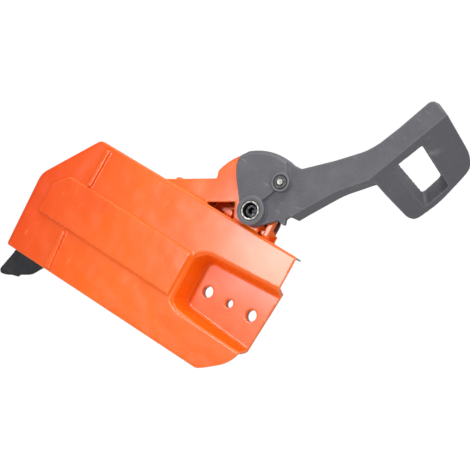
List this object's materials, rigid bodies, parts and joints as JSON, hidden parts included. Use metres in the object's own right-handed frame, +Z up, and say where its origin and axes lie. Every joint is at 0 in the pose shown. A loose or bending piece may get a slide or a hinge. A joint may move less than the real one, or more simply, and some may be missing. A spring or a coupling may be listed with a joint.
{
  "type": "chainsaw clutch side cover with chain brake and hand guard",
  "caption": "Cast side cover for a chainsaw's clutch, with a recessed bar pad, chip deflector, band brake and a pivoting front hand guard.",
  "frame": {"origin": "on the face that clamps the guide bar, halfway between the axes of the two bar stud holes", "axes": "+X forward along the cover's length, +Y inward to the saw, along the bar studs, +Z up"},
  "size_m": [0.2808, 0.1012, 0.2799],
  "materials": {
    "orange_paint": "glossy orange paint on cast magnesium",
    "guard_plastic": "dark grey moulded plastic with a fine grained surface",
    "deflector_rubber": "black moulded rubber",
    "black_plastic": "satin black plastic",
    "bright_steel": "turned bright steel",
    "dark_steel": "black oxide steel",
    "plated_steel": "zinc plated steel",
    "spring_steel": "oiled spring steel"
  },
  "bodies": {
    "cover": {"clutch_cover": "orange_paint", "bar_plate": "plated_steel", "bar_plate_screw_1": "plated_steel", "bar_plate_screw_2": "plated_steel", "chain_liner_strip": "plated_steel", "liner_screw": "plated_steel", "chip_deflector": "deflector_rubber", "deflector_screw_1": "plated_steel", "deflector_screw_2": "plated_steel", "brake_band": "spring_steel", "band_anchor_pin": "plated_steel", "spring_washer": "plated_steel", "brake_spring": "spring_steel", "brake_cover_plate": "plated_steel", "cover_plate_screw_1": "plated_steel", "cover_plate_screw_2": "plated_steel", "cover_plate_screw_3": "plated_steel", "cover_plate_screw_4": "plated_steel", "cover_plate_screw_5": "plated_steel", "guard_sleeve": "bright_steel", "guard_screw": "dark_steel", "guard_nut": "plated_steel"},
    "guard": {"hand_guard": "guard_plastic", "knee_lever": "dark_steel", "guard_pin": "bright_steel", "guard_pin_ring": "black_plastic", "knee_pin": "bright_steel"},
    "links": {"knee_link_outer": "dark_steel", "knee_link_inner": "dark_steel"},
    "puller": {"band_puller": "plated_steel", "band_hook": "plated_steel", "puller_pin": "bright_steel"}
  },
  "joints": [
    {"name": "guard_pivot", "type": "hinge", "parent": "cover", "child": "guard", "pos_m": [-0.0115, 0, 0.069], "axis": [0, 1, 0], "range_deg": [0, 32]},
    {"name": "knee_hinge", "type": "hinge", "parent": "guard", "child": "links", "pos_m": [-0.02939, 0, 0.07102], "axis": [0, 1, 0], "range_deg": [-58.2, 0]},
    {"name": "band_pull", "type": "slide", "parent": "cover", "child": "puller", "axis": [0.8813, 0, 0.4726], "range_m": [0, 0.0056]}
  ],
  "couplings": [
    {"joint": "knee_hinge", "follows": "guard_pivot", "ratio": -1.815},
    {"joint": "band_pull", "follows": "guard_pivot", "m_per_rad": 0.0099}
  ]
}
